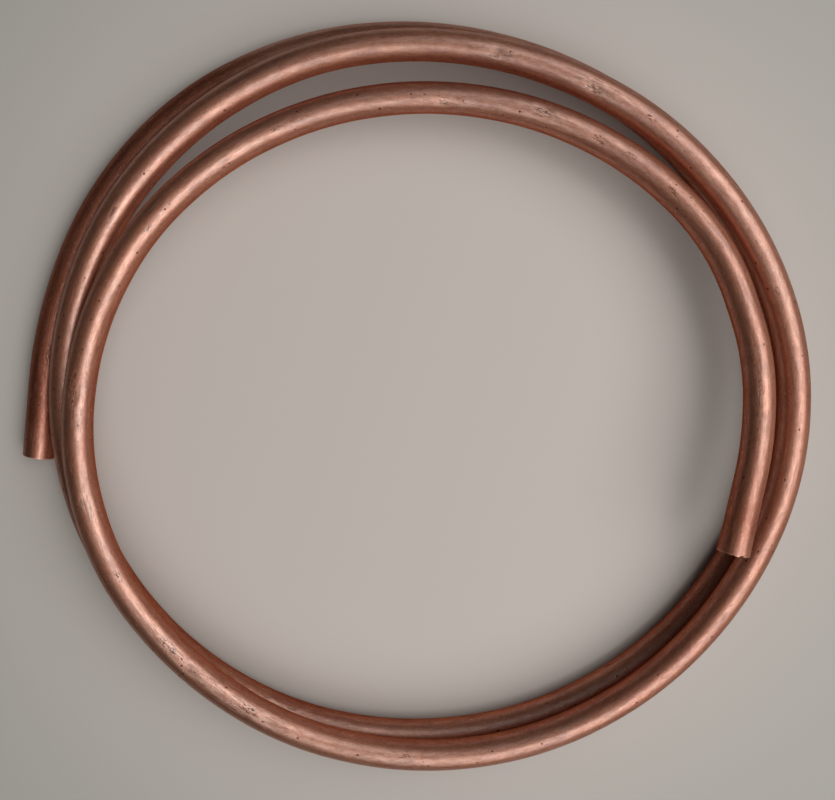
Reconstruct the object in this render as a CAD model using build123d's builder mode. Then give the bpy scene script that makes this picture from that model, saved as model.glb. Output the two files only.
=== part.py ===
# Copper tube coil: one length of round copper tube, bent by hand into
# about two and a half loose turns that lie on one another.
# Both ends are cut and open, and the bore runs from one to the other.
import os
from math import cos, pi, radians, sin, tan

from build123d import *

# Driving dimensions, in millimetres
tube_od = 14.0
wall = 1.0
ring_radius = 166.0
turn_gap = 0.4
cut_end_straight = 35.0
run_between_bends = 1.0

# Where the lower cut end lies round the ring, in degrees
start_angle = 188.0

# Pitch of the turns: one tube and the gap to the next
pitch = tube_od + turn_gap

# Route of the tube's axis, clockwise from the lower cut end, seen from above.
# Each station is the angle travelled in degrees, then how far the axis stands
# outside the ring radius and how far it is lifted off the floor, in pitches.
stations = [
    # The first turn lies on the floor
    (0, 1.15, 0.00),
    (20, 0.59, 0.00),
    (40, 0.52, 0.00),
    (60, 0.41, 0.00),
    (80, 0.15, 0.00),
    (100, -0.10, 0.00),
    (120, -0.17, 0.00),
    (140, -0.04, 0.00),
    (160, 0.10, 0.00),
    (180, 0.24, 0.00),
    (200, 0.24, 0.00),
    (220, 0.03, 0.00),
    (240, -0.09, 0.00),
    (260, -0.16, 0.00),
    (280, -0.17, 0.00),
    # It climbs onto itself, inside the lower cut end
    (300, -0.07, 0.06),
    (320, -0.01, 0.17),
    (340, 0.02, 0.32),
    (360, -0.04, 0.48),
    (380, -0.17, 0.62),
    (400, -0.26, 0.72),
    (420, -0.38, 0.78),
    (440, -0.43, 0.82),
    (460, -0.55, 0.90),
    (480, -0.53, 0.95),
    # The second turn lies on the first
    (500, -0.29, 0.98),
    (520, 0.00, 1.00),
    (540, 0.30, 1.00),
    (560, 0.38, 1.00),
    (580, 0.29, 0.97),
    (600, 0.24, 0.97),
    (620, 0.18, 0.99),
    (640, 0.07, 1.02),
    (660, -0.04, 1.08),
    # It crosses over the climb below it
    (680, -0.23, 1.16),
    (700, -0.34, 1.27),
    (720, -0.64, 1.30),
    (740, -1.05, 1.23),
    (760, -1.45, 1.14),
    # The third turn is a tighter arch inside the ring
    (780, -1.84, 0.97),
    (800, -2.08, 0.85),
    (820, -2.12, 0.82),
    (840, -1.94, 0.89),
    # Its free arm rises off the turns below it, to the upper cut end
    (860, -1.57, 1.03),
    (880, -1.11, 1.27),
    (900, -1.06, 1.57),
    (914, -1.11, 1.82),
    (934, -0.83, 2.20),
]


# A bend passes inside its corner, so a corner stands out from the ring by the
# secant of half the step between the stations beside it
def corner(index):
    travel, outward, lift = stations[index]
    before = stations[max(index - 1, 0)][0]
    after = stations[min(index + 1, len(stations) - 1)][0]
    radius = ring_radius + outward * pitch
    if before < travel < after:
        radius = radius / cos(radians((after - before) / 4))
    angle = radians(start_angle - travel)
    height = tube_od / 2 + lift * pitch
    return Vector(radius * cos(angle), radius * sin(angle), height)


# Every station between the two cut ends is a bend
corners = [corner(index) for index in range(len(stations))]
bends = range(len(stations))[1:-1]


# How far a bend reaches along its runs: half of the shorter run that it
# shares with a neighbour, less its part of the straight run between them
def bend_reach(bend):
    shared = []
    if bend > bends[0]:
        shared.append((corners[bend] - corners[bend - 1]).length)
    if bend < bends[-1]:
        shared.append((corners[bend + 1] - corners[bend]).length)
    return (min(shared) - run_between_bends) / 2


def bend_radius(bend):
    before = corners[bend] - corners[bend - 1]
    after = corners[bend + 1] - corners[bend]
    return bend_reach(bend) / tan(radians(before.get_angle(after) / 2))


# A cut end stands off its bend by the straight run that a fitting slides over
def cut_end(end, bend):
    outwards = (corners[end] - corners[bend]).normalized()
    return corners[bend] + outwards * (bend_reach(bend) + cut_end_straight)


radii = [bend_radius(bend) for bend in bends]
lower_end, upper_end = cut_end(0, bends[0]), cut_end(-1, bends[-1])
corners = [lower_end] + [corners[bend] for bend in bends] + [upper_end]

with BuildPart() as copper_tube:
    with BuildLine():
        axis = FilletPolyline(*corners, radius=radii)
    with BuildSketch(Plane(origin=axis @ 0, z_dir=axis % 0)):
        Circle(tube_od / 2)
        Circle(tube_od / 2 - wall, mode=Mode.SUBTRACT)
    sweep(path=axis)

# The reference point is under the middle of the coil, on the floor
box = copper_tube.part.bounding_box()
middle = box.center()
reference = Location((-middle.X, -middle.Y, -box.min.Z))
copper_tube.part = copper_tube.part.moved(reference)
copper_tube.part.label = "copper_tube"

section = pi * (tube_od - wall) * wall
print("bend radii", round(min(radii), 1), "to", round(max(radii), 1))
print("axis length", round(axis.length, 1))
print("section x length", round(section * axis.length, 1))
print("volume", round(copper_tube.part.volume, 1))
print("size", box.size)
print("middle", middle)
print("lower end", (axis @ 0) - Vector(middle.X, middle.Y, box.min.Z), axis % 0)
print("upper end", (axis @ 1) - Vector(middle.X, middle.Y, box.min.Z), axis % 1)

os.makedirs("parts", exist_ok=True)
export_step(copper_tube.part, "parts/copper_tube.step")
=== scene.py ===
# The looks of the copper tube coil: one length of oxidised copper tube in
# about two and a half loose turns, on a plain pale floor under a soft light.
import math

import bmesh
import bpy
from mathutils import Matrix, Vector, noise


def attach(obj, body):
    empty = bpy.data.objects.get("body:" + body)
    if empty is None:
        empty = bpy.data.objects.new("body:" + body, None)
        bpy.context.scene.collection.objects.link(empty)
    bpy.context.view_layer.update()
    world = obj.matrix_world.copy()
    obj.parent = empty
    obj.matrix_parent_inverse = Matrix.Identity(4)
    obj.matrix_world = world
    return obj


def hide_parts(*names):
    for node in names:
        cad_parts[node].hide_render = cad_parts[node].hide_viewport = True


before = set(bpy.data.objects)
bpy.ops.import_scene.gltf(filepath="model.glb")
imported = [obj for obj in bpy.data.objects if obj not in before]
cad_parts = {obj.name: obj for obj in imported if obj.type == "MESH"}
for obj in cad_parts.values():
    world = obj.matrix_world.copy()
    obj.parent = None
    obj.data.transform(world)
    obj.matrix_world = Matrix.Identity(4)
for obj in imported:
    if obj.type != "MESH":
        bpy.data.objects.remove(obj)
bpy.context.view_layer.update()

# Sizes of the tube and its ring, in metres
TUBE_OD = 0.014
WALL = 0.001
RING_RADIUS = 0.166
PITCH = 0.0144
CUT_END_STRAIGHT = 0.035
RUN_BETWEEN_BENDS = 0.001
START_ANGLE = 188.0

# How finely the skins are divided, round the tube and along it, with the
# distances from each cut end at which the rings lie closer together
SIDES = 72
OUTER_RINGS = 950
BORE_RINGS = 130
END_RINGS = [0.0, 0.00025, 0.0006, 0.0012, 0.0024, 0.0045]
FIRST_EVEN_RING = 0.0075

# How far back from a cut end its uneven edge, its oval shape and its fresh
# metal reach, and how oval and how blunt it is
UNEVEN_REACH = 0.006
OVAL_REACH = 0.015
OVAL = 0.05
FRESH_REACH = 0.0003
EDGE_BEVEL = 0.00012

# The stretch over which a thicker oxide and painted shade fade in or out, how far
# a dent reaches along the tube, and how far a mark does for each millimetre of its length
TARNISH_AND_SHADE_FADE = 0.030
DENT_REACH = 0.02
MARK_REACH = 0.0016

# Points of the skin closer than this are one
TOUCHING = 0.000002

# Route of the tube's axis, clockwise from the lower cut end: degrees travelled,
# then pitches outside the ring radius and pitches lifted off the floor
STATIONS = [
    # The first turn lies on the floor
    (0, 1.15, 0.00),
    (20, 0.59, 0.00),
    (40, 0.52, 0.00),
    (60, 0.41, 0.00),
    (80, 0.15, 0.00),
    (100, -0.10, 0.00),
    (120, -0.17, 0.00),
    (140, -0.04, 0.00),
    (160, 0.10, 0.00),
    (180, 0.24, 0.00),
    (200, 0.24, 0.00),
    (220, 0.03, 0.00),
    (240, -0.09, 0.00),
    (260, -0.16, 0.00),
    (280, -0.17, 0.00),
    # It climbs onto itself, inside the lower cut end
    (300, -0.07, 0.06),
    (320, -0.01, 0.17),
    (340, 0.02, 0.32),
    (360, -0.04, 0.48),
    (380, -0.17, 0.62),
    (400, -0.26, 0.72),
    (420, -0.38, 0.78),
    (440, -0.43, 0.82),
    (460, -0.55, 0.90),
    (480, -0.53, 0.95),
    # The second turn lies on the first
    (500, -0.29, 0.98),
    (520, 0.00, 1.00),
    (540, 0.30, 1.00),
    (560, 0.38, 1.00),
    (580, 0.29, 0.97),
    (600, 0.24, 0.97),
    (620, 0.18, 0.99),
    (640, 0.07, 1.02),
    (660, -0.04, 1.08),
    # It crosses over the climb below it
    (680, -0.23, 1.16),
    (700, -0.34, 1.27),
    (720, -0.64, 1.30),
    (740, -1.05, 1.23),
    (760, -1.45, 1.14),
    # The third turn is a tighter arch inside the ring
    (780, -1.84, 0.97),
    (800, -2.08, 0.85),
    (820, -2.12, 0.82),
    (840, -1.94, 0.89),
    # Its free arm rises off the turns below it, to the upper cut end
    (860, -1.57, 1.03),
    (880, -1.11, 1.27),
    (900, -1.06, 1.57),
    (914, -1.11, 1.82),
    (934, -0.83, 2.20),
]


def corner(index):
    """Where the axis would turn a sharp corner at a station, about the ring."""
    travel, outward, lift = STATIONS[index]
    before = STATIONS[max(index - 1, 0)][0]
    after = STATIONS[min(index + 1, len(STATIONS) - 1)][0]
    radius = RING_RADIUS + outward * PITCH
    if before < travel < after:
        radius /= math.cos(math.radians((after - before) / 4))
    angle = math.radians(START_ANGLE - travel)
    height = TUBE_OD / 2 + lift * PITCH
    return Vector((radius * math.cos(angle), radius * math.sin(angle), height))


def tube_route():
    """The axis as a list of bends and straight runs: (length, point at a distance)."""
    corners = [corner(index) for index in range(len(STATIONS))]
    first, last = 1, len(corners) - 2

    def reach(index):
        shared = []
        if index > first:
            shared.append((corners[index] - corners[index - 1]).length)
        if index < last:
            shared.append((corners[index + 1] - corners[index]).length)
        return (min(shared) - RUN_BETWEEN_BENDS) / 2

    def cut_end(end, bend):
        outwards = (corners[end] - corners[bend]).normalized()
        return corners[bend] + outwards * (reach(bend) + CUT_END_STRAIGHT)

    runs = []
    here = cut_end(0, first)
    upper_end = cut_end(-1, last)
    for index in range(first, last + 1):
        before = (corners[index] - corners[index - 1]).normalized()
        after = (corners[index + 1] - corners[index]).normalized()
        turn = before.angle(after)
        radius = reach(index) / math.tan(turn / 2)
        bend_start = corners[index] - before * reach(index)
        runs.append(straight_run(here, bend_start))
        inwards = (after - before * before.dot(after)).normalized()
        runs.append(round_bend(bend_start, before, inwards, radius, turn))
        here = corners[index] + after * reach(index)
    runs.append(straight_run(here, upper_end))
    return runs


def straight_run(start, end):
    """A straight stretch of the axis, from one point to another."""
    forward = (end - start).normalized()
    return (end - start).length, lambda along: (start + forward * along, forward)


def round_bend(start, forward, inwards, radius, turn):
    """A bend of the axis: where and which way it starts, and its middle's side."""
    centre = start + inwards * radius

    def place(along):
        angle = along / radius
        outwards = forward * math.sin(angle) - inwards * math.cos(angle)
        heading = forward * math.cos(angle) + inwards * math.sin(angle)
        return centre + outwards * radius, heading

    return radius * turn, place


ROUTE = tube_route()
TUBE_LENGTH = sum(run[0] for run in ROUTE)


def axis_at(distance):
    """Point and heading of the axis at a distance from the lower cut end."""
    left = min(max(distance, 0.0), TUBE_LENGTH)
    for length, place in ROUTE[:-1]:
        if left <= length:
            return place(left)
        left -= length
    return ROUTE[-1][1](left)


def coil_middle():
    """Middle of the coil in plan, which is the origin of the frame."""
    steps = 5000
    low, high = [math.inf, math.inf], [-math.inf, -math.inf]
    for step in range(steps + 1):
        point, heading = axis_at(TUBE_LENGTH * step / steps)
        for way in (0, 1):
            side = TUBE_OD / 2 * math.sqrt(max(0.0, 1 - heading[way] ** 2))
            low[way] = min(low[way], point[way] - side)
            high[way] = max(high[way], point[way] + side)
    return Vector(((low[0] + high[0]) / 2, (low[1] + high[1]) / 2, 0.0))


MIDDLE = coil_middle()


def travel_to_distance(degrees):
    """Distance along the axis at an angle travelled round the ring."""
    step = 0.002
    distance = 0.0
    travelled = 0.0
    previous = START_ANGLE
    while distance < TUBE_LENGTH:
        point, _ = axis_at(distance)
        angle = math.degrees(math.atan2(point.y, point.x))
        travelled += (previous - angle + 180) % 360 - 180
        if travelled >= degrees:
            return distance
        previous = angle
        distance += step
    return TUBE_LENGTH


# Dents left by handling: degrees travelled, degrees round the tube from its
# outer side over the top, length, width and depth in mm
DENTS = [
    (12, 100, 9, 4, 0.25),
    (377, 150, 7, 4, 0.25),
    (711, 108, 9, 5, 0.30),
    (729, 103, 8, 4, 0.40),
    (729, 84, 8, 4, 0.30),
    (679, 103, 12, 5, 0.30),
    (663, 100, 8, 4, 0.25),
    (530, 102, 6, 5, 0.25),
    (487, 108, 9, 5, 0.35),
    (470, 98, 9, 4, 0.30),
    (511, 95, 7, 4, 0.20),
    (840, 75, 9, 5, 0.35),
    (852, 95, 7, 4, 0.25),
    (822, 120, 6, 4, 0.25),
    (900, 107, 14, 3, 0.15),
]

# Places rubbed bright and scuffed, and one painted highlight, the long thin streak
# at 303 degrees: degrees travelled, degrees round the tube, length and width in mm,
# strength
SCUFFS_AND_HIGHLIGHT = [
    (487, 108, 26, 9, 1.0),
    (470, 100, 24, 8, 0.8),
    (667, 103, 60, 8, 1.0),
    (684, 103, 45, 7, 0.8),
    (711, 108, 24, 7, 0.8),
    (727, 108, 20, 7, 0.9),
    (840, 85, 30, 8, 0.8),
    (824, 115, 26, 7, 0.7),
    (640, 100, 40, 8, 0.5),
    (780, 105, 30, 7, 0.5),
    (400, 100, 28, 6, 0.5),
    (905, 107, 50, 6, 0.6),
    # A painted highlight: a streak of light on the first turn's crown beside the climb
    (303, 130, 60, 3, 1.0),
]

# Gouged and pitted places, in the same terms
GOUGES = [
    (729, 83, 9, 4, 1.0),
    (732, 84, 5, 3, 0.8),
    (733, 128, 4, 2, 0.6),
    (737, 150, 3, 2, 0.8),
    (717, 80, 5, 3, 0.7),
    (711, 80, 6, 3, 0.7),
    (470, 118, 7, 3, 0.9),
    (487, 112, 9, 4, 0.9),
    (497, 95, 6, 3, 0.7),
    (667, 108, 12, 4, 0.8),
    (684, 110, 12, 4, 0.7),
    (698, 118, 8, 3, 0.7),
    (840, 92, 9, 4, 1.0),
    (852, 102, 8, 4, 0.9),
    (858, 95, 6, 3, 0.8),
    (868, 100, 7, 3, 0.7),
    (822, 118, 7, 4, 0.6),
    (790, 105, 9, 4, 0.6),
    (760, 112, 7, 3, 0.6),
    (905, 106, 10, 3, 0.7),
    (640, 110, 12, 4, 0.5),
    (560, 105, 8, 3, 0.5),
    (530, 108, 8, 3, 0.6),
    (15, 110, 12, 3, 0.7),
    (28, 120, 10, 3, 0.6),
    (400, 100, 8, 3, 0.6),
    (380, 140, 8, 3, 0.6),
]

# Stretches painted darker, for a thicker oxide on some and as painted shade where
# other turns shadow the tube on others: degrees travelled at the start and at the end, and
# strength
TARNISH_AND_SHADE = [
    # Painted shade on the first turn near the lower cut end, where the turns beside it
    # shadow it
    (0, 70, 0.9),
    # Painted shade, deep red, on the lower turn in the crease under the free arm
    (196, 236, 0.6),
    (292, 352, 0.5),
    # Painted shade in the crease between the second turn and the free arm
    (540, 610, 0.3),
    (862, 940, 0.25),
    (922, 940, 0.5),
]


def turn_from(around, degrees):
    """Angle round the tube from a place on it, in radians, up to half a turn."""
    return (around - math.radians(degrees) + math.pi) % (2 * math.pi) - math.pi


def patch(distance, around, mark):
    """How strongly a mark covers a place on the skin, 0 to 1."""
    centre, turn, length, width = mark[:4]
    along = (distance - centre) * 1000 / (length / 2)
    across = turn_from(around, turn) * TUBE_OD * 500 / (width / 2)
    return math.exp(-(along * along + across * across) * 1.2)


def marked(distance, around, marks):
    """How strongly all the marks together cover a place on the skin, 0 to 1."""
    total = 0.0
    for mark in marks:
        if abs(distance - mark[0]) < mark[2] * MARK_REACH:
            total += mark[4] * patch(distance, around, mark)
    return min(total, 1.0)


def along_tube(marks):
    """The same marks, with their distance along the tube for their travel."""
    return [(travel_to_distance(mark[0]),) + mark[1:] for mark in marks]


dents = along_tube(DENTS)
scuffs_and_highlight = along_tube(SCUFFS_AND_HIGHLIGHT)
gouges = along_tube(GOUGES)
tarnish_and_shade_spans = [
    (travel_to_distance(start), travel_to_distance(end), strength)
    for start, end, strength in TARNISH_AND_SHADE
]


def tarnish_and_shade(distance):
    """How strongly thicker oxide and painted shade cover the tube at a distance along it,
    0 to 1.
    """
    total = 0.0
    for start, end, strength in tarnish_and_shade_spans:
        inside = min(distance - start, end - distance) / TARNISH_AND_SHADE_FADE + 0.5
        total += strength * min(max(inside, 0.0), 1.0)
    return total


def skin_dip(distance, around):
    """How far the skin lies inside the true round: it is bent by hand and dented."""
    across, over = math.cos(around), math.sin(around)
    wave = Vector((distance * 26, across * 0.9, over * 0.9))
    dip = 0.00010 * (0.5 + 0.5 * noise.noise(wave))
    ripple = Vector((distance * 90 + 40, across * 1.6, over * 1.6))
    dip += 0.00005 * (0.5 + 0.5 * noise.noise(ripple))
    for mark in dents:
        if abs(distance - mark[0]) < DENT_REACH:
            dip += mark[4] * 0.001 * patch(distance, around, mark)
    return dip


def sawn_short(around):
    """How far the sawn upper end falls short: two cuts that met, and a notch."""
    outer = max(0.0, math.cos(around))
    inner = max(0.0, -math.cos(around))
    short = 0.0011 * outer**1.5 + 0.0006 * inner**1.5
    turn = Vector((math.cos(around) * 4.0, math.sin(around) * 4.0, 5.0))
    short += 0.00040 * (0.5 + 0.5 * noise.noise(turn))
    short += 0.00035 * (0.5 + 0.5 * noise.noise(turn * 2.7))
    short += 0.00025 * inner * (0.5 + 0.5 * noise.noise(turn * 7.0))
    short += 0.0010 * math.exp(-((turn_from(around, 76) / 0.14) ** 2))
    return short


def askew_cut(around):
    """How far the lower end falls short: it is cut clean, but not quite square."""
    return 0.0005 * (1 + math.cos(around))


# What each place on the skin carries for the material, besides where it lies
SKIN_MARKS = ["rubbed", "gouged", "tarnish_and_shade", "fresh_cut"]


def roll_sheet(bm, radius, distances, inner):
    """Rolls a flat sheet round the route: its rows become rings of the tube."""
    rings = len(distances) - 1
    sheet = bmesh.ops.create_grid(bm, x_segments=rings, y_segments=SIDES, size=0.5)
    place_layer = bm.verts.layers.float_vector["straight_tube"]
    rubbed_layer, gouged_layer, tarnish_and_shade_layer, cut_layer = (
        bm.verts.layers.float[name] for name in SKIN_MARKS
    )
    frames = []
    for distance in distances:
        point, heading = axis_at(distance)
        side = heading.cross(Vector((0, 0, 1))).normalized() * -1
        frames.append((point - MIDDLE, side, side.cross(heading) * -1, heading))
    for vert in sheet["verts"]:
        row = round((vert.co.x + 0.5) * rings)
        around = round((vert.co.y + 0.5) * SIDES) / SIDES * 2 * math.pi
        distance = distances[row]
        point, side, up, heading = frames[row]
        from_end = TUBE_LENGTH - distance
        pull_back = sawn_short(around) * max(0.0, 1 - from_end / UNEVEN_REACH)
        pull_back -= askew_cut(around) * max(0.0, 1 - distance / UNEVEN_REACH)
        oval = OVAL * max(0.0, 1 - from_end / OVAL_REACH)
        size = radius - (0.0 if inner else skin_dip(distance, around))
        across, over = math.cos(around), math.sin(around)
        outwards = side * across * (1 + oval) + up * over * (1 - oval)
        vert.co = point + outwards * size - heading * pull_back
        vert[place_layer] = Vector((distance, across * size, over * size))
        if not inner:
            vert[rubbed_layer] = marked(distance, around, scuffs_and_highlight)
            vert[gouged_layer] = marked(distance, around, gouges)
        vert[tarnish_and_shade_layer] = tarnish_and_shade(distance)
        if min(distance, from_end) < FRESH_REACH:
            vert[cut_layer] = 0.65 - 0.35 * across


def ring_places(rings):
    """Distances of the rings along the tube, closer together at the cut ends."""
    first, last = FIRST_EVEN_RING, TUBE_LENGTH - FIRST_EVEN_RING
    middle = [first + (last - first) * index / rings for index in range(rings + 1)]
    far_end = [TUBE_LENGTH - place for place in reversed(END_RINGS)]
    return END_RINGS + middle + far_end


def copper_tube():
    """The whole tube: its outside, its bore and the two cut ends."""
    bm = bmesh.new()
    bm.verts.layers.float_vector.new("straight_tube")
    for name in SKIN_MARKS:
        bm.verts.layers.float.new(name)
    roll_sheet(bm, TUBE_OD / 2, ring_places(OUTER_RINGS), False)
    roll_sheet(bm, TUBE_OD / 2 - WALL, ring_places(BORE_RINGS), True)
    bmesh.ops.remove_doubles(bm, verts=bm.verts, dist=TOUCHING)

    # The annular faces of the two cut ends join the skins
    start = axis_at(0)[0] - MIDDLE
    for lower in (True, False):
        rim = [
            edge
            for edge in bm.edges
            if edge.is_boundary
            and ((edge.verts[0].co - start).length < TUBE_OD) == lower
        ]
        joined = bmesh.ops.bridge_loops(bm, edges=rim)
        sharp = [edge for face in joined["faces"] for edge in face.edges if edge in rim]
        bmesh.ops.bevel(
            bm,
            geom=sharp,
            offset=EDGE_BEVEL,
            offset_type="OFFSET",
            segments=2,
            profile=0.5,
            affect="EDGES",
            material=-1,
        )
    bmesh.ops.recalc_face_normals(bm, faces=bm.faces)
    mesh = bpy.data.meshes.new("copper_tube_skin")
    bm.to_mesh(mesh)
    bm.free()
    for polygon in mesh.polygons:
        polygon.use_smooth = True
    piece = bpy.data.objects.new("copper_tube_skin", mesh)
    bpy.context.collection.objects.link(piece)
    return piece


class Nodes:
    """Places shader nodes and joins their sockets."""

    def __init__(self, tree):
        self.tree = tree

    def add(self, kind, **settings):
        """A new node, its sockets fed and its other settings set by name."""
        node = self.tree.nodes.new(kind)
        for name, value in settings.items():
            if name in node.inputs:
                self.feed(node.inputs[name], value)
            else:
                setattr(node, name, value)
        return node

    def feed(self, socket, value):
        if isinstance(value, bpy.types.NodeSocket):
            self.tree.links.new(value, socket)
        else:
            socket.default_value = value

    def math(self, operation, *values):
        node = self.tree.nodes.new("ShaderNodeMath")
        node.operation = operation
        for socket, value in zip(node.inputs, values):
            self.feed(socket, value)
        return node.outputs[0]

    def times(self, first, second):
        return self.math("MULTIPLY", first, second)

    def ramp(self, value, low, high, out_low=0.0, out_high=1.0):
        """An even, eased change from one value to another."""
        node = self.tree.nodes.new("ShaderNodeMapRange")
        node.interpolation_type = "SMOOTHSTEP"
        self.feed(node.inputs["Value"], value)
        self.feed(node.inputs["From Min"], low)
        self.feed(node.inputs["From Max"], high)
        self.feed(node.inputs["To Min"], out_low)
        self.feed(node.inputs["To Max"], out_high)
        return node.outputs["Result"]

    def stretch(self, vector, scale):
        """A place scaled apart along the tube and across it."""
        node = self.tree.nodes.new("ShaderNodeMapping")
        self.feed(node.inputs["Vector"], vector)
        node.inputs["Scale"].default_value = scale
        return node.outputs["Vector"]

    def noise(self, vector, scale, detail, roughness):
        """Noise with so many waves to a metre, along the tube and across it."""
        node = self.tree.nodes.new("ShaderNodeTexNoise")
        self.feed(node.inputs["Vector"], self.stretch(vector, scale))
        node.inputs["Scale"].default_value = 1.0
        node.inputs["Detail"].default_value = detail
        node.inputs["Roughness"].default_value = roughness
        return node.outputs["Fac"]

    def mix(self, factor, first, second):
        """Two colours mixed, each a socket or its red, green and blue."""
        node = self.tree.nodes.new("ShaderNodeMix")
        node.data_type = "RGBA"
        self.feed(node.inputs[0], factor)
        for socket, colour in ((node.inputs[6], first), (node.inputs[7], second)):
            self.feed(socket, (*colour, 1) if isinstance(colour, tuple) else colour)
        return node.outputs[2]


# Shades of the copper, in order of where they are used
# Flank shades: red-brown oxide deepened into painted shade, with the red of copper
# reflecting copper
FLANK_SHADE_DARK, FLANK_SHADE_LIGHT = (0.38, 0.100, 0.050), (0.49, 0.145, 0.076)
# Crown shades: pinker, a painted sheen where the highlights fall
CROWN_SHEEN_DARK, CROWN_SHEEN_LIGHT = (0.40, 0.140, 0.074), (0.52, 0.200, 0.110)
DULL = (0.21, 0.056, 0.027)
TARNISH_AND_SHADE_COLOUR = (0.20, 0.043, 0.024)
DRAWN_LINE = (0.56, 0.225, 0.115)
MOTTLE_DARK, MOTTLE_LIGHT = (0.15, 0.044, 0.023), (0.62, 0.280, 0.160)
SPECK_LIGHT, SPECK_DARK = (0.74, 0.40, 0.26), (0.14, 0.044, 0.025)
HAIRLINE, GLEAM = (0.13, 0.05, 0.034), (0.76, 0.43, 0.29)
PIT = (0.07, 0.028, 0.020)
# The rubbed colour also paints the highlight streak
RUBBED_AND_HIGHLIGHT, SCRATCH = (0.68, 0.370, 0.255), (0.13, 0.055, 0.040)
BURR, TORN = (0.80, 0.50, 0.39), (0.075, 0.030, 0.020)
SAWN_LIGHT, SAWN_DARK = (0.80, 0.44, 0.31), (0.40, 0.16, 0.10)


def attribute(n, name, output="Fac"):
    """What the skin carries under a name."""
    return n.add("ShaderNodeAttribute", attribute_name=name).outputs[output]


def copper_marks(n):
    """How strongly each pattern and mark shows at a place, by name."""
    place = attribute(n, "straight_tube", "Vector")
    over = n.add("ShaderNodeSeparateXYZ", Vector=place).outputs["Z"]
    marks = {name: attribute(n, name) for name in SKIN_MARKS}
    # The crown is painted pinker as a painted sheen, the flanks darker and redder as
    # painted shade over their red-brown oxide
    marks["crown"] = n.ramp(over, 0.0010, 0.0062)
    marks["film"] = n.ramp(over, 0.0005, 0.0060, 0.10, 1.0)
    # Broad patches of thicker and thinner oxide, drawn out along the tube
    marks["patches"] = patches = n.noise(place, (14, 55, 55), 3.0, 0.55)
    marks["cloud"] = cloud = n.noise(place, (65, 280, 280), 4.0, 0.65)
    # Mottling, a few millimetres long and under one across
    marks["mottle"] = n.noise(place, (190, 760, 760), 4.0, 0.75)
    # Lines drawn along the tube by the die, and fine grain
    marks["lines"] = n.noise(place, (45, 1300, 1300), 2.0, 0.6)
    marks["grain"] = n.noise(place, (700, 1000, 1000), 3.0, 0.65)
    # Hairlines along the tube from drawing and handling
    hairs = n.noise(place, (55, 2100, 2100), 3.0, 0.75)
    marks["hair"] = n.times(n.ramp(hairs, 0.60, 0.68), n.ramp(patches, 0.42, 0.62))
    marks["gleam"] = n.times(n.ramp(hairs, 0.40, 0.33), n.ramp(cloud, 0.60, 0.40))
    # Small dark pits
    dots = n.stretch(place, (300, 430, 430))
    cells = n.add("ShaderNodeTexVoronoi", Vector=dots, Scale=1.0)
    near_dot = n.ramp(cells.outputs["Distance"], 0.26, 0.10)
    marks["pit"] = n.times(near_dot, n.ramp(cells.outputs["Color"], 0.78, 0.80))
    # Rubbed places are brighter and pinker, and so is the painted highlight streak; both
    # are broken up by lengthwise scratches
    scratches = n.noise(place, (130, 1700, 1700), 3.0, 0.7)
    in_rubbed = n.ramp(marks["rubbed"], 0.15, 0.6)
    marks["scratch"] = n.times(n.ramp(scratches, 0.54, 0.62), in_rubbed)
    marks["bright"] = n.times(marks["rubbed"], n.ramp(marks["mottle"], 0.62, 0.40))
    # Gouges are torn dark, with a bright burr beside the dark
    torn = n.noise(place, (520, 1700, 1700), 3.0, 0.8)
    in_gouged = n.ramp(marks["gouged"], 0.15, 0.50)
    marks["torn"] = n.times(n.ramp(torn, 0.52, 0.58), in_gouged)
    marks["burr"] = n.times(n.ramp(torn, 0.43, 0.36), in_gouged)
    return marks


def copper_colour(n, marks):
    """The oxide with every mark laid over it, painted shade and painted highlight among
    them, and the fresh metal of the ends.
    """
    patches = n.ramp(marks["patches"], 0.35, 0.68)
    flank = n.mix(patches, FLANK_SHADE_DARK, FLANK_SHADE_LIGHT)
    crown = n.mix(patches, CROWN_SHEEN_DARK, CROWN_SHEEN_LIGHT)
    # Painted sheen on the crown, painted shade on the flanks
    colour = n.mix(marks["crown"], flank, crown)
    mottle, grain = marks["mottle"], marks["grain"]
    layers = [
        (n.ramp(marks["cloud"], 0.42, 0.70), 0.45, DULL),
        # Thicker oxide and painted shade, over the stretches listed at the top
        (marks["tarnish_and_shade"], 0.75, TARNISH_AND_SHADE_COLOUR),
        (n.ramp(marks["lines"], 0.45, 0.70), 0.25, DRAWN_LINE),
        (n.ramp(mottle, 0.48, 0.68), 0.30, MOTTLE_DARK),
        (n.ramp(mottle, 0.46, 0.30), 0.22, MOTTLE_LIGHT),
        (n.ramp(grain, 0.58, 0.70), 0.40, SPECK_LIGHT),
        (n.ramp(grain, 0.42, 0.32), 0.40, SPECK_DARK),
        (marks["hair"], 0.65, HAIRLINE),
        (marks["gleam"], 0.35, GLEAM),
        (marks["pit"], 0.85, PIT),
        # Rubbed places, and the painted highlight streak
        (marks["bright"], 0.60, RUBBED_AND_HIGHLIGHT),
        (marks["scratch"], 0.75, SCRATCH),
        (marks["burr"], 0.45, BURR),
        (marks["torn"], 0.65, TORN),
    ]
    for amount, strength, shade in layers:
        colour = n.mix(n.times(amount, strength), colour, shade)
    sawn = n.mix(n.ramp(grain, 0.40, 0.62), SAWN_LIGHT, SAWN_DARK)
    return n.mix(marks["fresh_cut"], colour, sawn)


def copper_film(n, marks):
    """The thin white film on the crown, missing where the skin is torn."""
    film = n.times(marks["film"], n.ramp(marks["mottle"], 0.35, 0.65, 1.0, 0.6))
    film = n.times(film, n.math("SUBTRACT", 1.0, n.times(marks["tarnish_and_shade"], 0.8)))
    missing = n.math("MAXIMUM", marks["torn"], marks["pit"])
    return n.times(film, n.math("SUBTRACT", 1.0, missing))


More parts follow.
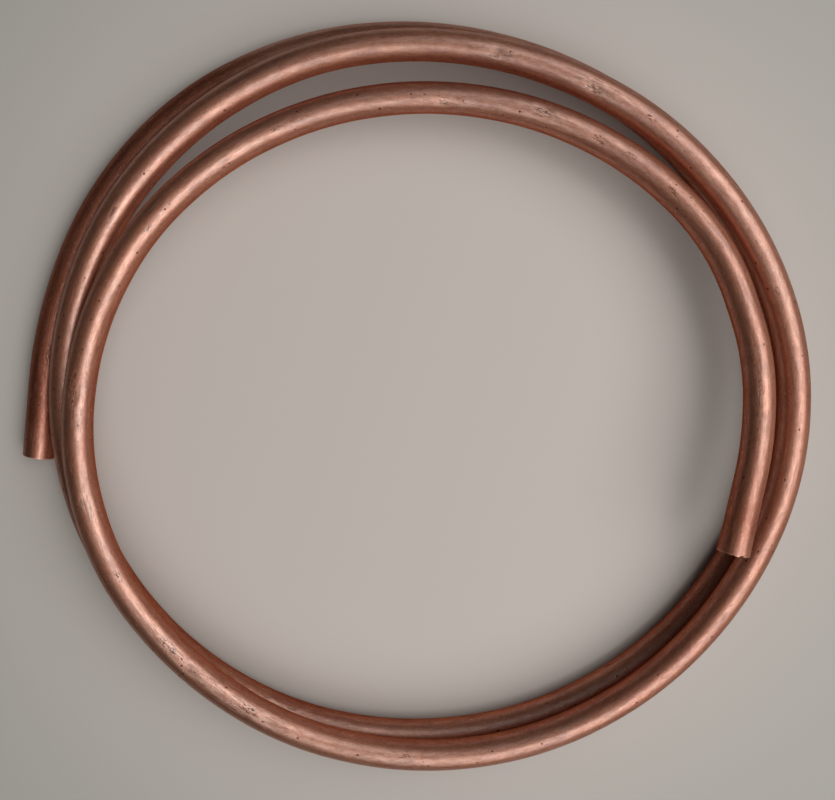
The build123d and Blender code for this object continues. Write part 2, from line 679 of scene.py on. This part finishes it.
def copper_roughness(n, marks):
    """Satin, smoother on worn places and along the painted highlight streak."""
    roughness = n.ramp(marks["cloud"], 0.3, 0.7, 0.34, 0.46)
    roughness = n.math("ADD", roughness, n.times(marks["mottle"], 0.10))
    return n.math("SUBTRACT", roughness, n.times(marks["rubbed"], 0.05))


def copper_relief(n, marks):
    """The height of the drawn lines and grain, less what is pitted and scratched."""
    height = n.times(marks["lines"], 0.22)
    height = n.math("ADD", height, n.times(marks["grain"], 0.20))
    cuts = [("mottle", 0.15), ("pit", 0.8), ("hair", 0.3), ("scratch", 0.5), ("torn", 0.9)]
    for name, depth in cuts:
        height = n.math("SUBTRACT", height, n.times(marks[name], depth))
    return n.add("ShaderNodeBump", Strength=0.9, Distance=0.00012, Height=height)


def oxidised_copper():
    """Copper under its oxide, with a thin film on the crown."""
    material = bpy.data.materials.new("oxidised_copper")
    material.use_nodes = True
    tree = material.node_tree
    tree.nodes.clear()
    n = Nodes(tree)
    marks = copper_marks(n)
    shader = n.add("ShaderNodeBsdfPrincipled")
    n.feed(shader.inputs["Base Color"], copper_colour(n, marks))
    n.feed(shader.inputs["Roughness"], copper_roughness(n, marks))
    n.feed(shader.inputs["Normal"], copper_relief(n, marks).outputs["Normal"])
    n.feed(shader.inputs["Coat Weight"], copper_film(n, marks))
    shader.inputs["Metallic"].default_value = 1.0
    # Fine drawing lines spread a gleam across the tube more than along it
    shader.inputs["Anisotropic"].default_value = 0.6
    shader.inputs["Anisotropic Rotation"].default_value = 0.25
    shader.inputs["Specular Tint"].default_value = (0.62, 0.38, 0.28, 1)
    shader.inputs["Coat IOR"].default_value = 2.3
    shader.inputs["Coat Roughness"].default_value = 0.35
    output = n.add("ShaderNodeOutputMaterial")
    n.feed(output.inputs["Surface"], shader.outputs["BSDF"])
    return material


def pale_floor():
    """A plain floor, a little darker away from the coil: a painted fall-off of the light.
    """
    material = bpy.data.materials.new("pale_floor")
    material.use_nodes = True
    n = Nodes(material.node_tree)
    place = n.add("ShaderNodeTexCoord").outputs["Object"]
    from_middle = n.add("ShaderNodeVectorMath", operation="LENGTH", Vector=place)
    # Painted light: the floor darkens away from the coil as the light falls off
    outside = n.ramp(from_middle.outputs["Value"], 0.10, 0.30)
    colour = n.mix(outside, (0.58, 0.532, 0.500), (0.43, 0.415, 0.392))
    shader = material.node_tree.nodes["Principled BSDF"]
    n.feed(shader.inputs["Base Color"], colour)
    shader.inputs["Roughness"].default_value = 0.9
    shader.inputs["Specular IOR Level"].default_value = 0.2
    bm = bmesh.new()
    bmesh.ops.create_grid(bm, x_segments=1, y_segments=1, size=2.5)
    mesh = bpy.data.meshes.new("floor")
    bm.to_mesh(mesh)
    bm.free()
    floor = bpy.data.objects.new("floor", mesh)
    bpy.context.collection.objects.link(floor)
    mesh.materials.append(material)


def soft_light(name, place, watts):
    """A soft window pane at a place, turned to the middle of the coil."""
    lamp = bpy.data.lights.new(name, "AREA")
    lamp.shape = "SQUARE"
    lamp.size = 1.50
    lamp.energy = watts
    lamp.color = (1.0, 0.985, 0.96)
    holder = bpy.data.objects.new(name, lamp)
    holder.location = place
    holder.rotation_euler = Vector(place).to_track_quat("Z", "Y").to_euler()
    bpy.context.collection.objects.link(holder)


def studio():
    """The floor, the light and the camera, straight over the coil."""
    pale_floor()
    # A row of soft panes, round one side of the coil
    soft_light("front_pane", (0.455, -0.976, 1.379), 11.4)
    soft_light("corner_pane", (0.933, -0.539, 1.379), 8.6)
    soft_light("side_pane", (1.073, 0.094, 1.379), 8.2)
    soft_light("back_pane", (0.825, 0.693, 1.379), 9.0)

    world = bpy.data.worlds.new("room")
    world.use_nodes = True
    back = world.node_tree.nodes["Background"]
    back.inputs["Color"].default_value = (1.0, 0.91, 0.82, 1)
    back.inputs["Strength"].default_value = 0.035
    bpy.context.scene.world = world
    bpy.context.scene.view_settings.view_transform = "Standard"

    camera = bpy.data.cameras.new("camera")
    camera.sensor_fit = "HORIZONTAL"
    camera.sensor_width = 36.0
    camera.lens = 38.80
    camera.clip_start = 0.01
    holder = bpy.data.objects.new("camera", camera)
    holder.location = Vector((-0.00116, 0.0351, 0.43035)) - MIDDLE
    holder.rotation_euler = (-0.08411, 0.0, 0.0)
    bpy.context.collection.objects.link(holder)
    bpy.context.scene.camera = holder


tube = copper_tube()
tube.data.materials.append(oxidised_copper())
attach(tube, "root")
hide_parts("copper_tube")
studio()
